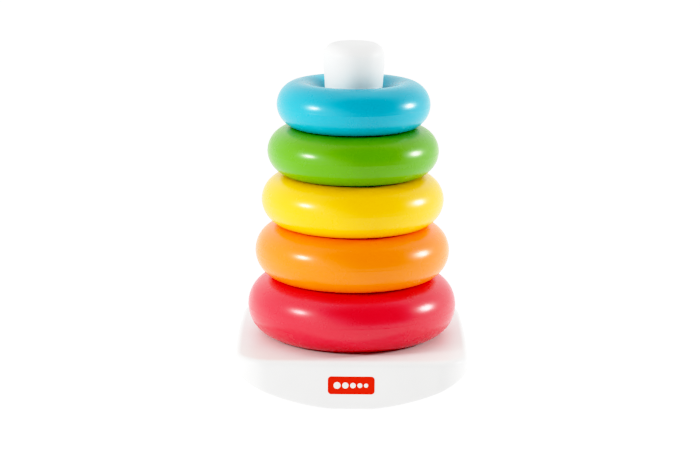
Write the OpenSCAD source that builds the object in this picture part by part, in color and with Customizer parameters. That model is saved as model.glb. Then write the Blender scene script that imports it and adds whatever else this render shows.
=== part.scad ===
// Stacking ring toy: five hollow rings on a tapered post, which stands on a rocking base.
// Millimetres. Origin on the table at the middle of the base, +Z up the post, front label towards -Y.

/* [Base] */
// Overall width and depth of the base
base_w = 135.6; // [134:0.2:137]
// Height of the deck above the table
base_h = 28; // [27.5:0.5:28.5]
// Distance of the rounded corners' centres from the middle, along each side
corner_c = 47; // [46:1:48]
// Rounding of the deck's edge
deck_round = 3.5; // [3:0.25:4.5]
// Radius of the rocker under the base
rocker_r = 131; // [128:1:138]
// Width of the flat in the middle of the rocker
rocker_flat_w = 22; // [18:1:26]
// Wall thickness of the base mouldings
base_wall = 2.2; // [2:0.1:2.4]

/* [Post] */
// Height of the post's top above the table
post_top = 201; // [200:0.5:202.5]
// Diameter of the post where it meets the deck
post_foot_d = 52; // [50:0.5:53]
// Diameter of the post at its neck, under the head
post_neck_d = 33.5; // [33:0.1:34]
// Largest diameter of the post's head
post_head_d = 35.4; // [35:0.1:35.8]
// Rounding of the head's rim
head_round = 7.5; // [6:0.25:8]
// Wall thickness of the post
post_wall = 2; // [1.8:0.1:2.4]
// Diameter of the flange that holds the post under the deck
post_flange_d = 66; // [62:1:70]

/* [Rings] */
// Wall thickness of every hollow ring
ring_wall = 1.6; // [1.4:0.1:2]
// Gap where one ring rests on the next
rest_gap = 0.05; // [0.02:0.01:0.1]

/* [Red ring] */
// Outer diameter
red_outer_d = 123; // [121:0.5:124]
// Diameter of the hole
red_hole_d = 60; // [58:0.5:61]
// Thickness from top to bottom
red_h = 34.2; // [33.5:0.1:34.5]

/* [Orange ring] */
// Outer diameter
orange_outer_d = 114.4; // [113:0.1:116]
// Diameter of the hole
orange_hole_d = 54; // [53:0.5:55]
// Thickness from top to bottom
orange_h = 31.5; // [31:0.1:32]

/* [Yellow ring] */
// Outer diameter
yellow_outer_d = 107; // [106:0.1:108]
// Diameter of the hole
yellow_hole_d = 49; // [48:0.5:50]
// Thickness from top to bottom
yellow_h = 29.7; // [29.2:0.1:30.2]

/* [Green ring] */
// Outer diameter
green_outer_d = 100.3; // [99:0.1:101]
// Diameter of the hole
green_hole_d = 43.6; // [43:0.1:44.6]
// Thickness from top to bottom
green_h = 28.2; // [27.8:0.1:28.6]

/* [Blue ring] */
// Outer diameter
blue_outer_d = 89.6; // [88.5:0.1:91]
// Diameter of the hole
blue_hole_d = 37; // [36.6:0.1:37.6]
// Thickness from top to bottom
blue_h = 27; // [26.6:0.1:27.2]

/* [Label] */
// Width of the front label
label_w = 26.5; // [22:0.5:30]
// Height of the front label
label_h = 10.5; // [9:0.5:12]
// Height of the label's middle above the table
label_z = 14.5; // [13.5:0.5:15.5]

/* [Hidden] */
$fn = 96;
floor_cut = 2;

// Seen from above, the base is four shallow side arcs, tangent to four corner arcs. The lines on which
// they meet slope like a right triangle with whole sides, so that both kinds end on the same round numbers.
half_w = base_w / 2;
slope = [100, 2499, 2501];
side_c = corner_c * (slope[1] / slope[0] - 1);
side_r = side_c + half_w;
corner_r = side_r - corner_c * slope[2] / slope[0];
wedge_reach = [slope[0], slope[1]] / 50;

// The rocker is a cylinder lying along Y, cut off flat where it meets the table.
rocker_sag = rocker_r - sqrt(rocker_r ^ 2 - (rocker_flat_w / 2) ^ 2);
deck_under = base_h - base_wall;
plate_gap = 0.2;

// Fixing screws, from below through the plate into the shell's bosses
screw_pos = 42;
screw_seat_z = 11.5;
screw_len = 10;
screw_d = 2.9;
screw_head_d = 6.2;
screw_head_h = 2;
pilot_d = 3;
boss_d = 8;
cup_d = 11;
cup_wall = 2;
fit_gap = 0.05;

rib_w = 1.6;
rib_h = 4.5;
rib_bite = 0.6;
flange_h = 2.5;
clamp_d = 60;
post_gap = 0.15;
flange_z = deck_under - fit_gap - flange_h;

// The post's outline: a taper from the deck to the neck, then a flare to the head.
neck_z = post_top - 29;
head_z = post_top - 10;
crown_h = 0.6;
post_steps = 16;

label_t = 0.15;
label_round = 2;

function smooth_step(t) = t * t * (3 - 2 * t);

// Radius of the post at height z, up to where the head's rim starts to round over
function post_r(z) = z < neck_z
    ? post_neck_d / 2 + (post_foot_d - post_neck_d) / 2 * (neck_z - z) / (neck_z - base_h)
    : post_neck_d / 2 + (post_head_d - post_neck_d) / 2 * smooth_step((z - neck_z) / (head_z - neck_z));

// The rings from the bottom up: [outer diameter, hole diameter, thickness]
rings = [
    [red_outer_d, red_hole_d, red_h],
    [orange_outer_d, orange_hole_d, orange_h],
    [yellow_outer_d, yellow_hole_d, yellow_h],
    [green_outer_d, green_hole_d, green_h],
    [blue_outer_d, blue_hole_d, blue_h]
];
tube_steps = 400;

function tube_a(ring) = (ring[0] - ring[1]) / 4;
function tube_b(ring) = ring[2] / 2;
function tube_r(ring) = (ring[0] + ring[1]) / 4;

// Half of a tube's thickness at a distance x from the post's axis
function half_h(ring, x) = tube_b(ring) * sqrt(max(0, 1 - ((x - tube_r(ring)) / tube_a(ring)) ^ 2));

// Height between the middles of two rings that touch: the most that their halves add up to
function stack_step(lower, upper) = rest_gap + max([
    for (k = [0:tube_steps])
        let (x = tube_r(upper) + (tube_r(lower) - tube_r(upper)) * k / tube_steps)
        half_h(lower, x) + half_h(upper, x)
]);

function ring_z(i) = i == 0
    ? base_h + rest_gap + tube_b(rings[0])
    : ring_z(i - 1) + stack_step(rings[i - 1], rings[i]);

// Half section of a disc of radius r with a rounded upper rim, drawn in all round by inset
module rim_section(r, inset) {
    rim = deck_round - inset;
    foot = -floor_cut - inset;
    union() {
        translate([0, foot])
            square([r - inset - rim, base_h - inset - foot]);
        translate([0, foot])
            square([r - inset, base_h - inset - rim - foot]);
        translate([r - inset - rim, base_h - inset - rim])
            circle(r = rim);
    }
}

// A lid with that section, as thick as the wall
module rimmed_lid(r) {
    rotate_extrude()
        difference() {
            rim_section(r, 0);
            rim_section(r, base_wall);
        }
}

// Seen from above: the wedge between the middle of the base and one side arc
module side_wedge() {
    polygon([
        [0, 0],
        [corner_c, corner_c],
        [corner_c + wedge_reach[0], corner_c + wedge_reach[1]],
        [-corner_c - wedge_reach[0], corner_c + wedge_reach[1]],
        [-corner_c, corner_c]
    ]);
}

// Seen from above: the wedge between a corner's centre and its arc
module corner_wedge() {
    polygon([
        [0, 0],
        [wedge_reach[1], wedge_reach[0]],
        [wedge_reach[1], wedge_reach[1]],
        [wedge_reach[0], wedge_reach[1]]
    ]);
}

module side_part() {
    intersection() {
        translate([0, -side_c, 0])
            rimmed_lid(side_r);
        linear_extrude(4 * base_h, center = true)
            side_wedge();
    }
}

module corner_part() {
    translate([corner_c, corner_c, 0])
        intersection() {
            rimmed_lid(corner_r);
            linear_extrude(4 * base_h, center = true)
                corner_wedge();
        }
}

// What lies above the rocker's underside once that is raised by lift, seen from the front
module rocker_section(lift) {
    intersection() {
        translate([0, rocker_r - rocker_sag])
            circle(r = rocker_r - lift, $fn = 360);
        translate([-base_w, lift])
            square([2 * base_w, 2 * base_h]);
    }
}

module along_depth() {
    rotate([90, 0, 0])
        linear_extrude(2 * base_w, center = true)
            children();
}

module below_rocker(lift) {
    along_depth()
        difference() {
            translate([-base_w, -2 * floor_cut])
                square([2 * base_w, base_h]);
            rocker_section(lift);
        }
}

// The deck and the walls, in four side parts and four corner parts, each cut along the rocker
module deck_and_walls() {
    for (a = [0:90:270]) {
        difference() {
            rotate([0, 0, a])
                side_part();
            below_rocker(0);
        }
        difference() {
            rotate([0, 0, a])
                corner_part();
            below_rocker(0);
        }
    }
}

module at_screws() {
    for (x = [-screw_pos, screw_pos], y = [-screw_pos, screw_pos])
        translate([x, y, 0])
            children();
}

// Ribs under the deck, from round the post's flange into the walls and corners
module deck_ribs() {
    rib_start = post_flange_d / 2 + 1.5;
    side_end = half_w - base_wall + rib_bite;
    corner_end = corner_c * sqrt(2) + corner_r - base_wall + rib_bite;
    for (a = [0:45:315])
        rotate([0, 0, a])
            translate([rib_start, -rib_w / 2, deck_under - rib_h])
                cube([(a % 90 == 0 ? side_end : corner_end) - rib_start, rib_w, rib_h + rib_bite]);
}

module screw_bosses() {
    boss_z = screw_seat_z + cup_wall + fit_gap;
    at_screws()
        translate([0, 0, boss_z])
            cylinder(d = boss_d, h = deck_under + rib_bite - boss_z);
}

module base_shell() {
    color("white")
        difference() {
            union() {
                deck_and_walls();
                deck_ribs();
                screw_bosses();
            }
            translate([0, 0, deck_under - 1])
                cylinder(d = post_foot_d + 2 * post_gap, h = base_wall + 2);
            at_screws()
                translate([0, 0, screw_seat_z])
                    cylinder(d = pilot_d, h = screw_len + 2);
        }
}

// Seen from above: the part of the plate inside one side arc
module side_plan(inset) {
    intersection() {
        translate([0, -side_c])
            circle(r = side_r - inset, $fn = 720);
        side_wedge();
    }
}

// Seen from above: the part of the plate inside one corner arc
module corner_plan(inset) {
    translate([corner_c, corner_c])
        intersection() {
            circle(r = corner_r - inset);
            corner_wedge();
        }
}

module curved_sheet() {
    along_depth()
        difference() {
            rocker_section(0);
            rocker_section(base_wall);
        }
}

// The sheet in four side parts and four corner parts, a small gap clear of the walls
module plate_sheet() {
    inset = base_wall + plate_gap;
    for (a = [0:90:270]) {
        intersection() {
            rotate([0, 0, a])
                linear_extrude(2 * base_h, center = true)
                    side_plan(inset);
            curved_sheet();
        }
        intersection() {
            rotate([0, 0, a])
                linear_extrude(2 * base_h, center = true)
                    corner_plan(inset);
            curved_sheet();
        }
    }
}

// The curved sheet that closes the base: four cups for the screws and a tube that clamps the post
module rocker_plate() {
    clamp_top = flange_z - fit_gap;
    color("white")
        difference() {
            union() {
                plate_sheet();
                difference() {
                    union() {
                        at_screws()
                            cylinder(d = cup_d, h = screw_seat_z + cup_wall);
                        difference() {
                            cylinder(d = clamp_d, h = clamp_top);
                            translate([0, 0, -1])
                                cylinder(d = clamp_d - 2 * base_wall, h = base_h);
                        }
                    }
                    below_rocker(base_wall / 2);
                }
            }
            at_screws()
                translate([0, 0, -1]) {
                    cylinder(d = screw_head_d + 0.8, h = screw_seat_z + 1);
                    cylinder(d = screw_d + 0.5, h = base_h);
                }
        }
}

module base_screw() {
    recess_w = 0.9;
    recess_l = 3.6;
    recess_h = 1.2;
    translate([0, 0, screw_seat_z])
        difference() {
            union() {
                cylinder(d = screw_d, h = screw_len);
                translate([0, 0, -screw_head_h])
                    cylinder(d1 = screw_head_d - 1.2, d2 = screw_head_d, h = 0.8);
                translate([0, 0, 0.8 - screw_head_h])
                    cylinder(d = screw_head_d, h = screw_head_h - 0.8);
            }
            for (a = [0, 90])
                rotate([0, 0, a])
                    translate([0, 0, recess_h / 2 - screw_head_h])
                        cube([recess_l, recess_w, recess_h + 0.01], center = true);
        }
}

module base_screws() {
    color("silver")
        at_screws()
            base_screw();
}

// Half outline of the post's outside, or of its inside when it is drawn in by the wall
function post_outline(inset) = concat(
    [[0, base_h], [post_r(base_h) - inset, base_h]],
    [for (k = [0:post_steps])
        let (z = neck_z + (head_z - neck_z) * k / post_steps)
        [post_r(z) - inset, z]],
    [for (k = [0:post_steps])
        let (a = 90 * k / post_steps)
        [
            post_head_d / 2 - head_round + (head_round - inset) * cos(a),
            post_top - crown_h - head_round + (head_round - inset) * sin(a)
        ]],
    [[0, post_top - inset]]
);

module post() {
    color("white")
        difference() {
            union() {
                rotate_extrude()
                    polygon(post_outline(0));
                translate([0, 0, flange_z]) {
                    cylinder(d = post_flange_d, h = flange_h);
                    cylinder(d = post_foot_d, h = base_h - flange_z);
                }
            }
            rotate_extrude()
                polygon(post_outline(post_wall));
            translate([0, 0, flange_z - 1])
                cylinder(d = post_foot_d - 2 * post_wall, h = base_h - flange_z + 2);
        }
}

// A thin plate that follows the curve of the front side
module front_label() {
    corner_x = label_w / 2 - label_round;
    corner_z = label_h / 2 - label_round;
    color("red")
        intersection() {
            translate([0, side_c, 0])
                difference() {
                    cylinder(r = side_r + fit_gap + label_t, h = base_h, $fn = 1440);
                    translate([0, 0, -1])
                        cylinder(r = side_r + fit_gap, h = base_h + 2, $fn = 1440);
                }
            translate([0, 0, label_z])
                rotate([90, 0, 0])
                    linear_extrude(base_w)
                        union() {
                            square([label_w, 2 * corner_z], center = true);
                            square([2 * corner_x, label_h], center = true);
                            for (x = [-corner_x, corner_x], z = [-corner_z, corner_z])
                                translate([x, z])
                                    circle(r = label_round, $fn = 48);
                        }
        }
}

module tube_section(ring, inset) {
    translate([tube_r(ring), 0])
        scale([tube_a(ring) - inset, tube_b(ring) - inset])
            circle(r = 1);
}

module hollow_ring(i, paint) {
    color(paint)
        translate([0, 0, ring_z(i)])
            rotate_extrude()
                difference() {
                    tube_section(rings[i], 0);
                    tube_section(rings[i], ring_wall);
                }
}

module ring_red() { hollow_ring(0, "crimson"); }
module ring_orange() { hollow_ring(1, "darkorange"); }
module ring_yellow() { hollow_ring(2, "gold"); }
module ring_green() { hollow_ring(3, "limegreen"); }
module ring_blue() { hollow_ring(4, "deepskyblue"); }

base_shell();
rocker_plate();
base_screws();
post();
front_label();
ring_red();
ring_orange();
ring_yellow();
ring_green();
ring_blue();
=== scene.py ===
"""Looks of a stacking ring toy: five hollow rings on a tapered post, on a rocking base.

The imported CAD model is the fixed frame. Smooth moulded pieces replace the rings, the post, the base
shell, the curved plate under it and the front label. The screws are the CAD ones with a better finish.
"""

import math

import bmesh
import bpy
from mathutils import Matrix, Vector, geometry


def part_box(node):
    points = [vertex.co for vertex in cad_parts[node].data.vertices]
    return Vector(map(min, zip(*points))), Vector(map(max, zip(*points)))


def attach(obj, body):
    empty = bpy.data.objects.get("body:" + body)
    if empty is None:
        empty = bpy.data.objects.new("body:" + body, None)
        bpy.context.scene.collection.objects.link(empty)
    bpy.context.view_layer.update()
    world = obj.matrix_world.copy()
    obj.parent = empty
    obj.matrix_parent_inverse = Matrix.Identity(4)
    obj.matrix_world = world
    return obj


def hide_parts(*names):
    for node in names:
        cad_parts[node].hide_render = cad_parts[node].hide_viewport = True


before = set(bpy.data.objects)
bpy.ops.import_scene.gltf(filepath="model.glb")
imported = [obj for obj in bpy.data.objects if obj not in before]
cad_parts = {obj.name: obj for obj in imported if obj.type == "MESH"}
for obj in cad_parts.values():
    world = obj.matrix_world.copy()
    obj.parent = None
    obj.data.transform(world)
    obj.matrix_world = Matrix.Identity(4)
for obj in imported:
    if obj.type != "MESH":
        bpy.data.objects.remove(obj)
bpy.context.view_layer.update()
MM = 0.001

# Base, in mm, as in the CAD
HALF_W = (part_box("base_shell")[1].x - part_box("base_shell")[0].x) / 2 / MM
DECK_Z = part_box("base_shell")[1].z / MM
CORNER_C = 47.0
SLOPE = (100.0, 2499.0, 2501.0)
SIDE_C = CORNER_C * (SLOPE[1] / SLOPE[0] - 1)
SIDE_R = SIDE_C + HALF_W
CORNER_R = SIDE_R - CORNER_C * SLOPE[2] / SLOPE[0]
SIDE_ANGLE = math.atan2(SLOPE[0], SLOPE[1])
DECK_ROUND = 3.5
FOOT_ROUND = 1.9
WALL = 2.2
ROCKER_R = 131.0
ROCKER_FLAT = 22.0
ROCKER_CZ = math.sqrt(ROCKER_R**2 - (ROCKER_FLAT / 2) ** 2)
PLATE_INSET = WALL + 0.2
SCREW_POS = 42.0
SEAT_Z = 11.5
CUP_TOP = 13.5
SCREW_HOLE_R = 3.5
SHANK_HOLE_R = 1.7
CUP_R = 5.5
CLAMP_R = 30.0
CLAMP_TOP = DECK_Z - WALL - 2.6
HOLE_PLAY = 0.15
HOLE_ROUND = 0.35

# Post, in mm
POST_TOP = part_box("post")[1].z / MM
POST_FOOT_R = 26.0
POST_NECK_R = 16.75
POST_HEAD_R = 17.7
HEAD_ROUND = 7.5
CROWN = 0.6
NECK_Z = POST_TOP - 29
HEAD_Z = POST_TOP - 10
POST_WALL = 2.0
FLANGE_R = 33.0
FLANGE_H = 2.5
FLANGE_BREAK = 0.3
FLANGE_GAP = 0.05


# ---------------------------------------------------------------- mesh helpers


class Surface:
    """Points and faces gathered in mm, welded and turned into one piece at the end."""

    def __init__(self):
        self.points = []
        self.faces = []
        self.slots = []

    def add(self, points, faces, slot=0):
        start = len(self.points)
        self.points += [tuple(p) for p in points]
        self.faces += [[start + i for i in face] for face in faces]
        self.slots += [slot] * len(faces)

    def loft(self, loops, close_rows=False, slot=0):
        """Quads between loops that all have the same number of points."""
        count = len(loops[0])
        rows = len(loops)
        faces = []
        for r in range(rows if close_rows else rows - 1):
            low, high = r * count, (r + 1) % rows * count
            for i in range(count):
                j = (i + 1) % count
                faces.append([low + i, low + j, high + j, high + i])
        self.add([p for loop in loops for p in loop], faces, slot)

    def fan(self, loop, tip):
        """Triangles from a loop to one point."""
        count = len(loop)
        self.add(loop + [tip], [[i, (i + 1) % count, count] for i in range(count)])

    def lid(self, loop, slot=0):
        """One face over a loop."""
        self.add(loop, [list(range(len(loop)))], slot)

    def piece(self, name, materials, body, node, slot, weld=1e-4):
        mesh = bpy.data.meshes.new(name)
        mesh.from_pydata([Vector(p) * MM for p in self.points], [], self.faces)
        for polygon, index in zip(mesh.polygons, self.slots):
            polygon.material_index = index
            polygon.use_smooth = True
        shape = bmesh.new()
        shape.from_mesh(mesh)
        bmesh.ops.remove_doubles(shape, verts=shape.verts, dist=weld * MM)
        bmesh.ops.dissolve_degenerate(shape, edges=shape.edges, dist=1e-3 * weld * MM)
        bmesh.ops.recalc_face_normals(shape, faces=shape.faces)
        shape.to_mesh(mesh)
        shape.free()
        piece = bpy.data.objects.new(name, mesh)
        bpy.context.scene.collection.objects.link(piece)
        for material in materials:
            mesh.materials.append(material)
        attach(piece, body)
        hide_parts(node)
        return piece


def circle(radius, z, count, centre=(0.0, 0.0)):
    """A round loop of points; z is a height, or a function of x."""
    points = []
    for i in range(count):
        turn = 2 * math.pi * i / count
        x = centre[0] + radius * math.cos(turn)
        y = centre[1] + radius * math.sin(turn)
        points.append((x, y, z(x) if callable(z) else z))
    return points


def revolve(profile, count):
    """Loops round the Z axis, one for each (radius, z) of the profile."""
    return [circle(r, z, count) for r, z in profile]


def arc(steps, first=0.0, last=90.0):
    """Angles in radians from first to last, both in degrees."""
    return [math.radians(first + (last - first) * k / steps) for k in range(steps + 1)]


def sharpen(piece, angle=38.0):
    """Marks an edge as sharp where its two faces meet at more than the angle, and smooth elsewhere."""
    mesh = piece.data
    shape = bmesh.new()
    shape.from_mesh(mesh)
    for edge in shape.edges:
        edge.smooth = len(edge.link_faces) == 2 and edge.calc_face_angle(0) < math.radians(angle)
    shape.to_mesh(mesh)
    shape.free()


# ---------------------------------------------------------------- materials


def node(tree, kind, inputs=None, **settings):
    """A new node; each input is a value, or another node's output to link to."""
    made = tree.nodes.new(kind)
    for key, value in settings.items():
        setattr(made, key, value)
    for key, value in (inputs or {}).items():
        if isinstance(value, bpy.types.NodeSocket):
            tree.links.new(value, made.inputs[key])
        else:
            made.inputs[key].default_value = value
    return made


def blank_material(name):
    """A material with an empty node tree."""
    material = bpy.data.materials.new(name)
    material.use_nodes = True
    material.node_tree.nodes.clear()
    return material, material.node_tree


def object_place(tree):
    return node(tree, "ShaderNodeTexCoord").outputs["Object"]


def noise(tree, place, scale, detail, roughness=0.5):
    """Value of a noise texture, whose scale is in cells per metre."""
    inputs = {"Vector": place, "Scale": scale, "Detail": detail, "Roughness": roughness}
    return node(tree, "ShaderNodeTexNoise", inputs).outputs["Fac"]


def two_tones(tree, value, dark, light, dark_at=0.0, light_at=1.0):
    """Colour that runs from dark to light as the value runs between two limits."""
    ramp = node(tree, "ShaderNodeValToRGB", {"Fac": value})
    for stop, colour, position in zip(ramp.color_ramp.elements, (dark, light), (dark_at, light_at)):
        stop.position = position
        stop.color = colour
    return ramp.outputs["Color"]


def bump(tree, height, strength, distance, **inputs):
    """Normal of a bump; the distance is in metres."""
    inputs.update({"Height": height, "Strength": strength, "Distance": distance})
    return node(tree, "ShaderNodeBump", inputs).outputs["Normal"]


def show_surface(tree, shader):
    node(tree, "ShaderNodeOutputMaterial", {"Surface": shader})


def shade(colour, factor):
    return tuple(min(1.0, c * factor) for c in colour) + (1.0,)


def moulded_plastic(name, colour, rough, gloss_level=0.5):
    """Satin moulded plastic: faint flow clouds in its colour, uneven gloss, a swell and a fine skin."""
    material, tree = blank_material(name)
    place = object_place(tree)
    clouds = noise(tree, place, 22.0, 3.0, 0.55)
    tone = two_tones(tree, clouds, shade(colour, 0.965), shade(colour, 1.02), 0.35, 0.68)
    smudges = noise(tree, place, 60.0, 4.0, 0.6)
    limits = {"From Min": 0.3, "From Max": 0.7, "To Min": rough - 0.03, "To Max": rough + 0.04}
    gloss = node(tree, "ShaderNodeMapRange", {"Value": smudges, **limits})
    swell = bump(tree, noise(tree, place, 45.0, 1.0), 0.12, 0.0006)
    skin = bump(tree, noise(tree, place, 1400.0, 2.0), 0.04, 0.0001, Normal=swell)
    shader = node(
        tree,
        "ShaderNodeBsdfPrincipled",
        {
            "Base Color": tone,
            "Roughness": gloss.outputs["Result"],
            "IOR": 1.5,
            "Specular IOR Level": gloss_level,
            "Normal": skin,
        },
    )
    show_surface(tree, shader.outputs["BSDF"])
    return material


def plated_steel(name):
    """Zinc-plated screw steel: patchy grey with fine turning marks."""
    material, tree = blank_material(name)
    place = object_place(tree)
    tone = two_tones(tree, noise(tree, place, 700.0, 4.0), (0.42, 0.43, 0.45, 1), (0.72, 0.72, 0.70, 1))
    rings = {"Vector": place, "Scale": 900.0, "Distortion": 1.5}
    marks = node(tree, "ShaderNodeTexWave", rings, wave_type="RINGS")
    shader = node(
        tree,
        "ShaderNodeBsdfPrincipled",
        {
            "Base Color": tone,
            "Metallic": 1.0,
            "Roughness": 0.36,
            "Normal": bump(tree, marks.outputs["Fac"], 0.2, 0.00005),
        },
    )
    show_surface(tree, shader.outputs["BSDF"])
    return material


WHITE = moulded_plastic("white_moulding", (0.84, 0.84, 0.83), 0.38, gloss_level=0.3)
POST_WHITE = moulded_plastic("post_moulding", (0.82, 0.825, 0.815), 0.42, gloss_level=0.3)
PLATE_WHITE = moulded_plastic("plate_moulding", (0.79, 0.775, 0.745), 0.42)
FILM_RED = moulded_plastic("label_red", (0.72, 0.03, 0.012), 0.42, gloss_level=0.15)
FILM_WHITE = moulded_plastic("label_white", (0.82, 0.80, 0.77), 0.42)
STEEL = plated_steel("plated_steel")
RING_COLOURS = {
    "red": (0.70, 0.022, 0.042),
    "orange": (0.985, 0.213, 0.003),
    "yellow": (0.985, 0.505, 0.002),
    "green": (0.105, 0.34, 0.001),
    "blue": (0.008, 0.35, 0.485),
}
RING_PLASTIC = {
    name: moulded_plastic("ring_" + name + "_moulding", colour, 0.26, gloss_level=0.45)
    for name, colour in RING_COLOURS.items()
}


# ---------------------------------------------------------------- rings

RING_TURNS = 320
TUBE_STEPS = 112
SEAM_H = 0.07
SEAM_W = 0.35
SEAM_ANGLES = (-1.6, -0.9, -0.45, 0.45, 0.9, 1.6)


def ring_hole(name):
    """Radius of a ring's hole, read from the CAD node."""
    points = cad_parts[name].data.vertices
    return min(math.hypot(v.co.x, v.co.y) for v in points) / MM


def tube_angles():
    """Angles round the tube, closer together where the mould's two halves met."""
    even = [360 * k / TUBE_STEPS for k in range(TUBE_STEPS)]
    near = [side + turn for side in (0, 180) for turn in SEAM_ANGLES]
    return [math.radians(a) for a in sorted(even + [a % 360 for a in near])]


def make_ring(colour):
    """The outer skin of a ring, with a faint mould seam round the outside and the hole."""
    name = "ring_" + colour
    low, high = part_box(name)
    outer, hole = (high.x - low.x) / 2 / MM, ring_hole(name)
    half_w, half_h = (outer - hole) / 2, (high.z - low.z) / 2 / MM
    middle_r, middle_z = (outer + hole) / 2, (high.z + low.z) / 2 / MM
    profile = []
    for a in tube_angles():
        z = half_h * math.sin(a)
        seam = SEAM_H * math.exp(-((z / SEAM_W) ** 2)) * math.copysign(1, math.cos(a))
        profile.append((middle_r + half_w * math.cos(a) + seam, middle_z + z))
    ring = Surface()
    ring.loft(revolve(profile, RING_TURNS), close_rows=True)
    ring.piece(name + "_shell", [RING_PLASTIC[colour]], name, name, colour + "_plastic")


for ring_colour in RING_PLASTIC:
    make_ring(ring_colour)


# ---------------------------------------------------------------- post


def post_radius(z):
    """Outside radius: a straight taper up to the neck, then an easy swell to the head."""
    if z < NECK_Z:
        return POST_NECK_R + (POST_FOOT_R - POST_NECK_R) * (NECK_Z - z) / (NECK_Z - DECK_Z)
    t = (z - NECK_Z) / (HEAD_Z - NECK_Z)
    return POST_NECK_R + (POST_HEAD_R - POST_NECK_R) * t * t * (3 - 2 * t)


def post_outline(inset):
    """Outline from the deck to the middle of the top, drawn in by inset."""
    rim_z = POST_TOP - CROWN - HEAD_ROUND
    heights = [DECK_Z + (NECK_Z - DECK_Z) * k / 40 for k in range(40)]
    heights += [NECK_Z + (HEAD_Z - NECK_Z) * k / 24 for k in range(25)]
    line = [(post_radius(z) - inset, z) for z in heights]
    rim = HEAD_ROUND - inset
    flat = POST_HEAD_R - HEAD_ROUND
    line += [(flat + rim * math.cos(a), rim_z + rim * math.sin(a)) for a in arc(20)]
    crown_shares = (0.9, 0.75, 0.55, 0.35, 0.15)
    line += [(flat * s, rim_z + rim + CROWN * (1 - s * s)) for s in crown_shares]
    return line


def make_post():
    """The hollow post, with the flange that holds it under the deck."""
    flange_top = DECK_Z - WALL - FLANGE_GAP
    flange_low = flange_top - FLANGE_H
    below_deck = DECK_Z - 0.6
    fillet = 0.4
    foot = [
        (FLANGE_R - FLANGE_BREAK, flange_low),
        (FLANGE_R, flange_low + FLANGE_BREAK),
        (FLANGE_R, flange_top - FLANGE_BREAK),
        (FLANGE_R - FLANGE_BREAK, flange_top),
        (POST_FOOT_R + fillet, flange_top),
        (POST_FOOT_R, flange_top + fillet),
        (POST_FOOT_R, below_deck),
    ]
    inner_foot = [(POST_FOOT_R - POST_WALL, flange_low), (POST_FOOT_R - POST_WALL, below_deck)]
    turns = 192
    post = Surface()
    outside = revolve(foot + post_outline(0), turns)
    inside = revolve(inner_foot + post_outline(POST_WALL), turns)
    post.loft(outside)
    post.loft(inside)
    post.loft([inside[0], outside[0]])
    post.fan(outside[-1], (0, 0, POST_TOP))
    post.fan(inside[-1], (0, 0, POST_TOP - POST_WALL))
    sharpen(post.piece("post_moulding", [POST_WHITE], "base", "post", "post_plastic"))


make_post()


# ---------------------------------------------------------------- base

SIDE_STEPS = 48
CORNER_STEPS = 28
RIM_STEP = 1.2
LIP_STEP = 1.6
CUP_STEP = 1.4
CLAMP_STEP = 2


def rocker(x, lift=0.0):
    """Height of the rocker's underside at x, or of a surface that runs the distance lift above it."""
    return max(lift, ROCKER_CZ - math.sqrt((ROCKER_R - lift) ** 2 - x * x))


def plate_top(x):
    """Height of the plate's upper face, one wall above the underside."""
    return rocker(x, WALL)


def plan_arcs():
    """The outline in order, each point as the centre, radius and angle of the arc that it is on."""
    rows = []
    for quarter in range(4):
        turn = quarter * math.pi / 2
        side = (-SIDE_C * math.cos(turn), -SIDE_C * math.sin(turn))
        for k in range(SIDE_STEPS):
            rows.append((side, SIDE_R, turn - SIDE_ANGLE + 2 * SIDE_ANGLE * k / SIDE_STEPS))
        tilt = turn + math.pi / 4
        corner = (CORNER_C * math.sqrt(2) * math.cos(tilt), CORNER_C * math.sqrt(2) * math.sin(tilt))
        span = math.pi / 2 - 2 * SIDE_ANGLE
        for k in range(CORNER_STEPS):
            rows.append((corner, CORNER_R, turn + SIDE_ANGLE + span * k / CORNER_STEPS))
    return rows


PLAN = plan_arcs()


def plan_loop(inset, height):
    """The base's outline drawn in by inset; height is a number, or a function of x."""
    loop = []
    for centre, radius, angle in PLAN:
        x = centre[0] + (radius - inset) * math.cos(angle)
        y = centre[1] + (radius - inset) * math.sin(angle)
        loop.append((x, y, height(x) if callable(height) else height))
    return loop


def hole_loop(radius, z):
    """A circle round the post with one point for each point of the outline, at the same bearing."""
    loop = []
    for x, y, _ in plan_loop(0, 0):
        reach = math.hypot(x, y)
        loop.append((radius * x / reach, radius * y / reach, z))
    return loop


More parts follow.
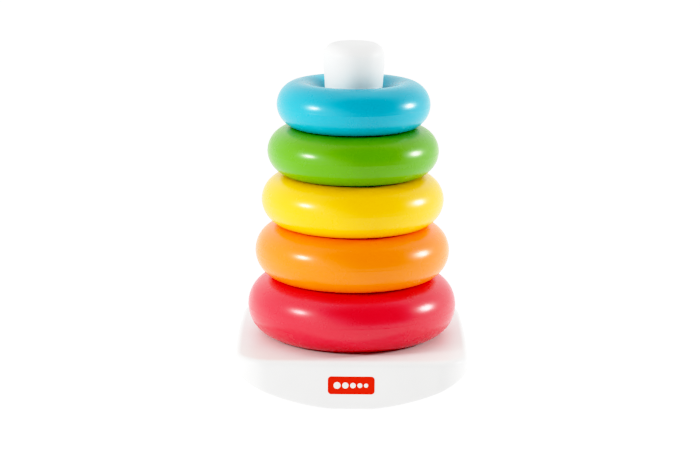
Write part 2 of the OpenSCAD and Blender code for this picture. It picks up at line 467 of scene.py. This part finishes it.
def make_base_shell():
    """The deck with its hole, the walls down to the rocker line, and the same again inside."""
    hole_r = POST_FOOT_R + HOLE_PLAY
    hole_edge = DECK_Z - HOLE_ROUND
    under = DECK_Z - WALL
    loops = [hole_loop(hole_r, under), hole_loop(hole_r, hole_edge)]
    for a in arc(4)[1:]:
        loops.append(hole_loop(hole_r + HOLE_ROUND * (1 - math.cos(a)), hole_edge + HOLE_ROUND * math.sin(a)))
    loops += [hole_loop(hole_r + 4, DECK_Z), plan_loop(DECK_ROUND + 6, DECK_Z)]
    for a in arc(12):
        drop = DECK_ROUND * (1 - math.cos(a))
        loops.append(plan_loop(DECK_ROUND * (1 - math.sin(a)), DECK_Z - drop))
    wall_top = DECK_Z - DECK_ROUND
    for share in (0.25, 0.5, 0.75, 1.0):
        loops.append(plan_loop(0, lambda x: wall_top + (rocker(x) + FOOT_ROUND - wall_top) * share))
    for a in arc(10)[1:]:
        rise = FOOT_ROUND * (1 - math.sin(a))
        loops.append(plan_loop(FOOT_ROUND * (1 - math.cos(a)), lambda x: rocker(x) + rise))
    break_w, break_h = 0.12, 0.15
    loops += [plan_loop(WALL - break_w, rocker), plan_loop(WALL, lambda x: rocker(x) + break_h)]
    inner_rim = DECK_ROUND - WALL
    for a in arc(5, 90, 0):
        inset = WALL + inner_rim * (1 - math.sin(a))
        loops.append(plan_loop(inset, under - inner_rim * (1 - math.cos(a))))
    shell = Surface()
    shell.loft(loops, close_rows=True)
    sharpen(shell.piece("base_shell_moulding", [WHITE], "base", "base_shell", "base_plastic"))


def screw_places():
    return [(x, y) for x in (-SCREW_POS, SCREW_POS) for y in (-SCREW_POS, SCREW_POS)]


def sheet(surface, rims, holes, height, spacing=4.0):
    """A triangulated sheet with holes, which follows a height function.

    rims are loops from the outline inwards. Each hole is a group of loops from its edge outwards.
    """
    clear = spacing * 0.4
    points, edges = [], []
    loops = rims + [loop for group in holes for loop in group]
    for loop in loops:
        start = len(points)
        points += loop
        edges += [(start + i, start + (i + 1) % len(loop)) for i in range(len(loop))]
    steps = int(HALF_W / spacing) + 1
    for i in range(-steps, steps + 1):
        for j in range(-steps, steps + 1):
            spot = Vector((i * spacing, j * spacing))
            if not inside_plan(spot, PLATE_INSET + RIM_STEP + clear):
                continue
            if any(near_loop(spot, group[-1], clear) for group in holes):
                continue
            points.append((spot.x, spot.y, height(spot.x)))
    flat = [Vector(p[:2]) for p in points]
    spots, _, triangles, sources, _, _ = geometry.delaunay_2d_cdt(flat, edges, [], 0, 1e-5)
    corners = []
    for spot, origin in zip(spots, sources):
        corners.append(points[origin[0]] if origin else (spot.x, spot.y, height(spot.x)))
    faces = []
    for triangle in triangles:
        middle = sum((spots[i] for i in triangle), Vector((0, 0))) / len(triangle)
        if not any(in_hole(middle, group[0]) for group in holes):
            faces.append(list(triangle))
    surface.add(corners, faces)


def loop_centre(loop):
    return Vector((sum(p[0] for p in loop) / len(loop), sum(p[1] for p in loop) / len(loop)))


def loop_radius(loop):
    return (Vector(loop[0][:2]) - loop_centre(loop)).length


def near_loop(spot, loop, gap):
    return (spot - loop_centre(loop)).length < loop_radius(loop) + gap


def in_hole(spot, loop):
    """Whether the middle of a face is inside a loop, which is a polygon and not quite a circle."""
    return (spot - loop_centre(loop)).length < loop_radius(loop) * math.cos(math.pi / len(loop))


def inside_plan(spot, inset):
    """Whether a point is within the base's outline drawn in by inset, with its bowed sides taken as flat."""
    x, y = abs(spot.x), abs(spot.y)
    if x > CORNER_C and y > CORNER_C:
        return math.hypot(x - CORNER_C, y - CORNER_C) < CORNER_R - inset
    return max(x, y) < HALF_W - inset


def make_rocker_plate():
    """The curved plate: its edge, the four counterbored screw cups, the clamp tube and both faces."""
    edge_round, lip_round = 0.4, 0.6
    plate = Surface()
    outer = []
    for a in arc(4):
        rise = edge_round * (1 - math.sin(a))
        outer.append(plan_loop(PLATE_INSET + edge_round * (1 - math.cos(a)), lambda x: rocker(x) + rise))
    plate.loft(outer)
    count, tube_count = 48, 96
    low_holes, high_holes = [], []
    for place in screw_places():
        lips = []
        for a in arc(4):
            rise = lip_round * (1 - math.sin(a))
            radius = SCREW_HOLE_R + lip_round * (1 - math.cos(a))
            lips.append(circle(radius, lambda x: rocker(x) + rise, count, place))
        plate.loft(lips)
        cup = [
            lips[0],
            circle(SCREW_HOLE_R, SEAT_Z, count, place),
            circle(SHANK_HOLE_R, SEAT_Z, count, place),
            circle(SHANK_HOLE_R, CUP_TOP, count, place),
            circle(CUP_R, CUP_TOP, count, place),
            circle(CUP_R, plate_top, count, place),
        ]
        plate.loft(cup)
        low_holes.append([lips[-1], circle(SCREW_HOLE_R + LIP_STEP, rocker, count, place)])
        high_holes.append([cup[-1], circle(CUP_R + CUP_STEP, plate_top, count, place)])
    tube = [
        circle(CLAMP_R - WALL, plate_top, tube_count),
        circle(CLAMP_R - WALL, CLAMP_TOP, tube_count),
        circle(CLAMP_R, CLAMP_TOP, tube_count),
        circle(CLAMP_R, plate_top, tube_count),
    ]
    plate.loft(tube)
    high_holes.append([tube[-1], circle(CLAMP_R + CLAMP_STEP, plate_top, tube_count)])
    sheet(plate, [outer[-1], plan_loop(PLATE_INSET + RIM_STEP, rocker)], low_holes, rocker)
    top_edge = plan_loop(PLATE_INSET, plate_top)
    plate.loft([outer[0], top_edge])
    sheet(plate, [top_edge, plan_loop(PLATE_INSET + RIM_STEP, plate_top)], high_holes, plate_top)
    disc(plate, tube[0], plate_top)
    sharpen(plate.piece("rocker_plate_moulding", [PLATE_WHITE], "base", "rocker_plate", "base_plastic"))


def disc(surface, loop, height):
    """Closes a round loop with rings of quads and a fan."""
    radius, count = loop_radius(loop), len(loop)
    rings = [loop]
    for share in (0.8, 0.6, 0.4, 0.2):
        rings.append(circle(radius * share, height, count))
    surface.loft(rings)
    surface.fan(rings[-1], (0, 0, height(0)))


make_base_shell()
make_rocker_plate()


# ---------------------------------------------------------------- label and screws

# The label from its edge inwards: how far in, and how far off the wall
LABEL_ROWS = (
    (0, 0.02),
    (0, 0.1),
    (0.03, 0.14),
    (0.08, 0.16),
    (0.3, 0.17),
    (1.2, 0.17),
    (2.4, 0.17),
    (3.8, 0.17),
)
LABEL_CORNER = 2.0
LABEL_LEAST_CORNER = 0.3
# The dots: radii from left to right, and then a dot's rows as a share of its radius and a lift off the wall
DOT_RADII = (2.0, 1.8, 1.6, 1.4, 1.2)
DOT_ROWS = ((1.0, 0.1), (1.0, 0.18), (0.9, 0.2), (0.5, 0.2))
FIRST_DOT_X = -8.0
DOT_GAP = 0.7
DOT_POINTS = 32


def front_y(x):
    """The front wall's surface at x."""
    return SIDE_C - math.sqrt(SIDE_R**2 - x * x)


def lozenge(half_w, half_h, corner, steps=10):
    """Points of a rectangle with round corners, in the plane of the wall."""
    points = []
    for turn, sx, sz in ((0, 1, 1), (90, -1, 1), (180, -1, -1), (270, 1, -1)):
        for a in arc(steps, turn, turn + 90):
            x = sx * (half_w - corner) + corner * math.cos(a)
            z = sz * (half_h - corner) + corner * math.sin(a)
            points.append((x, z))
    return points


def on_wall(points, centre_z, lift):
    """The points laid on the front wall, lifted off it."""
    return [(x, front_y(x) - lift, centre_z + z) for x, z in points]


def make_label():
    """A plain red film with a row of white dots."""
    low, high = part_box("front_label")
    half_w, half_h = (high.x - low.x) / 2 / MM, (high.z - low.z) / 2 / MM
    centre_z = (high.z + low.z) / 2 / MM
    label = Surface()
    loops = []
    for inset, lift in LABEL_ROWS:
        corner = max(LABEL_CORNER - inset, LABEL_LEAST_CORNER)
        loops.append(on_wall(lozenge(half_w - inset, half_h - inset, corner), centre_z, lift))
    label.loft(loops)
    label.lid(loops[-1])
    label.lid(loops[0])
    x = FIRST_DOT_X
    turn = arc(DOT_POINTS, 0, 360)[:-1]
    for size in DOT_RADII:
        rows = []
        for share, lift in DOT_ROWS:
            dot = [(x + size * share * math.cos(a), size * share * math.sin(a)) for a in turn]
            rows.append(on_wall(dot, centre_z, lift))
        label.loft(rows, slot=1)
        label.lid(rows[-1], slot=1)
        label.lid(rows[0], slot=1)
        x += 2 * size + DOT_GAP
    films = [FILM_RED, FILM_WHITE]
    sharpen(label.piece("front_label_film", films, "base", "front_label", "label_film", weld=1e-5))


make_label()

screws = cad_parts["base_screws"]
screws.data.materials.clear()
screws.data.materials.append(STEEL)


# ---------------------------------------------------------------- studio

FLOOR_HALF = 30.0
FLOOR_GLOW = 1.19
BACKDROP = 1.45
ROOM = 1.25
# Patches of the room's light: azimuth and elevation, inner and outer angle in degrees, and what each adds
PATCHES = (
    (22.0, 31.0, 30.0, 64.0, -1.22),
    (-28.0, 0.0, 5.0, 42.0, 0.9),
    (0.0, 90.0, 10.0, 46.0, 0.25),
)
LIGHTS_AIM = (0, 0, 0.11)
SENSOR_W = 36.0
LENS = 104.7
CAMERA_PLACE = (-0.00147, -1.1706, 0.3577)
CAMERA_PITCH = 12.78
CAMERA_ROLL = 0.5
# The tone curve: level in the scene and level in the picture
TONES = (
    (0.0, 0.0),
    (0.035, 0.003),
    (0.09, 0.062),
    (0.17, 0.16),
    (0.3, 0.3),
    (0.68, 0.68),
    (0.92, 0.835),
    (1.15, 0.92),
    (1.42, 1.0),
)


def make_floor():
    """A grey floor made white by its own glow, and clear from below so that the underside can be seen."""
    mesh = bpy.data.meshes.new("studio_floor")
    corners = [(x * FLOOR_HALF, y * FLOOR_HALF, 0) for x, y in ((-1, -1), (1, -1), (1, 1), (-1, 1))]
    mesh.from_pydata(corners, [], [(0, 1, 2, 3)])
    floor = bpy.data.objects.new("studio_floor", mesh)
    bpy.context.scene.collection.objects.link(floor)
    material, tree = blank_material("studio_floor")
    clouds = noise(tree, object_place(tree), 3.0, 2.0)
    tone = two_tones(tree, clouds, (0.22, 0.22, 0.22, 1), (0.25, 0.25, 0.25, 1))
    shader = node(
        tree,
        "ShaderNodeBsdfPrincipled",
        {
            "Base Color": tone,
            "Roughness": 0.8,
            "Specular IOR Level": 0.1,
            "Emission Color": (1, 1, 1, 1),
            "Emission Strength": FLOOR_GLOW,
        },
    )
    below = node(tree, "ShaderNodeNewGeometry").outputs["Backfacing"]
    clear = node(tree, "ShaderNodeBsdfTransparent")
    sides = node(tree, "ShaderNodeMixShader", {0: below, 1: shader.outputs["BSDF"], 2: clear.outputs["BSDF"]})
    show_surface(tree, sides.outputs["Shader"])
    mesh.materials.append(material)


def bearing(azimuth, elevation):
    """Direction from the object; azimuth 0 is towards the camera, 90 to the right."""
    az, el = math.radians(azimuth), math.radians(elevation)
    return Vector((math.sin(az) * math.cos(el), -math.cos(az) * math.cos(el), math.sin(el)))


def spread(tree, way, azimuth, elevation, inner, outer):
    """1 within the inner angle of a direction, fading to 0 at the outer angle."""
    vectors = {0: way, 1: bearing(azimuth, elevation)}
    near = node(tree, "ShaderNodeVectorMath", vectors, operation="DOT_PRODUCT")
    inputs = {
        "Value": near.outputs["Value"],
        "From Min": math.cos(math.radians(outer)),
        "From Max": math.cos(math.radians(inner)),
    }
    return node(tree, "ShaderNodeMapRange", inputs, interpolation_type="SMOOTHSTEP").outputs["Result"]


def make_world():
    """A white room, dark above the camera and brighter low in front and overhead.

    The camera itself sees a plain white backdrop in place of the room.
    """
    world = bpy.data.worlds.new("studio")
    bpy.context.scene.world = world
    world.use_nodes = True
    tree = world.node_tree
    tree.nodes.clear()
    way = node(tree, "ShaderNodeTexCoord").outputs["Generated"]
    level = ROOM
    for *patch, added in PATCHES:
        terms = {0: spread(tree, way, *patch), 1: added, 2: level}
        level = node(tree, "ShaderNodeMath", terms, operation="MULTIPLY_ADD").outputs["Value"]
    seen = node(tree, "ShaderNodeLightPath").outputs["Is Camera Ray"]
    shown = node(tree, "ShaderNodeMix", {"Factor": seen, "A": level, "B": BACKDROP}, data_type="FLOAT")
    light = {"Color": (1, 1, 1, 1), "Strength": shown.outputs["Result"]}
    background = node(tree, "ShaderNodeBackground", light)
    out = node(tree, "ShaderNodeOutputWorld")
    tree.links.new(background.outputs["Background"], out.inputs["Surface"])


def softbox(name, azimuth, elevation, distance, width, height, power):
    """A rectangular soft light, turned to face the middle of the toy; metres and watts."""
    away = bearing(azimuth, elevation)
    light = bpy.data.lights.new(name, "AREA")
    light.shape = "RECTANGLE"
    light.size, light.size_y = width, height
    light.energy = power
    lamp = bpy.data.objects.new(name, light)
    lamp.location = Vector(LIGHTS_AIM) + away * distance
    lamp.rotation_euler = away.to_track_quat("Z", "Y").to_euler()
    bpy.context.scene.collection.objects.link(lamp)


def make_camera():
    """The photo's view, from a fit of one camera to the outlines."""
    data = bpy.data.cameras.new("camera")
    data.sensor_width = SENSOR_W
    data.lens = LENS
    data.clip_start, data.clip_end = 0.05, 50.0
    camera = bpy.data.objects.new("camera", data)
    pitch, roll = math.radians(CAMERA_PITCH), math.radians(CAMERA_ROLL)
    ahead = Vector((0, math.cos(pitch), -math.sin(pitch)))
    up = Vector((0, math.sin(pitch), math.cos(pitch)))
    up.rotate(Matrix.Rotation(-roll, 3, ahead))
    right = ahead.cross(up)
    turn = Matrix((right, up, -ahead)).transposed()
    camera.matrix_world = Matrix.Translation(CAMERA_PLACE) @ turn.to_4x4()
    bpy.context.scene.collection.objects.link(camera)
    bpy.context.scene.camera = camera


def develop(points):
    """The picture's tone curve: a little toe, straight middle tones and a soft shoulder up to white."""
    settings = bpy.context.scene.view_settings
    settings.view_transform = "Standard"
    settings.use_curve_mapping = True
    mapping = settings.curve_mapping
    mapping.clip_max_x = points[-1][0]
    mapping.clip_max_y = points[-1][1]
    combined = 3
    curve = mapping.curves[combined]
    while len(curve.points) > 2:
        curve.points.remove(curve.points[1])
    curve.points[0].location = points[0]
    curve.points[-1].location = points[-1]
    for x, y in points[1:-1]:
        curve.points.new(x, y)
    mapping.update()


make_floor()
make_world()
make_camera()
softbox("left_box", -61, 20, 0.62, 0.12, 0.04, 1.9)
softbox("right_box", 93, 17, 1.0, 0.19, 0.17, 6.5)
develop(TONES)
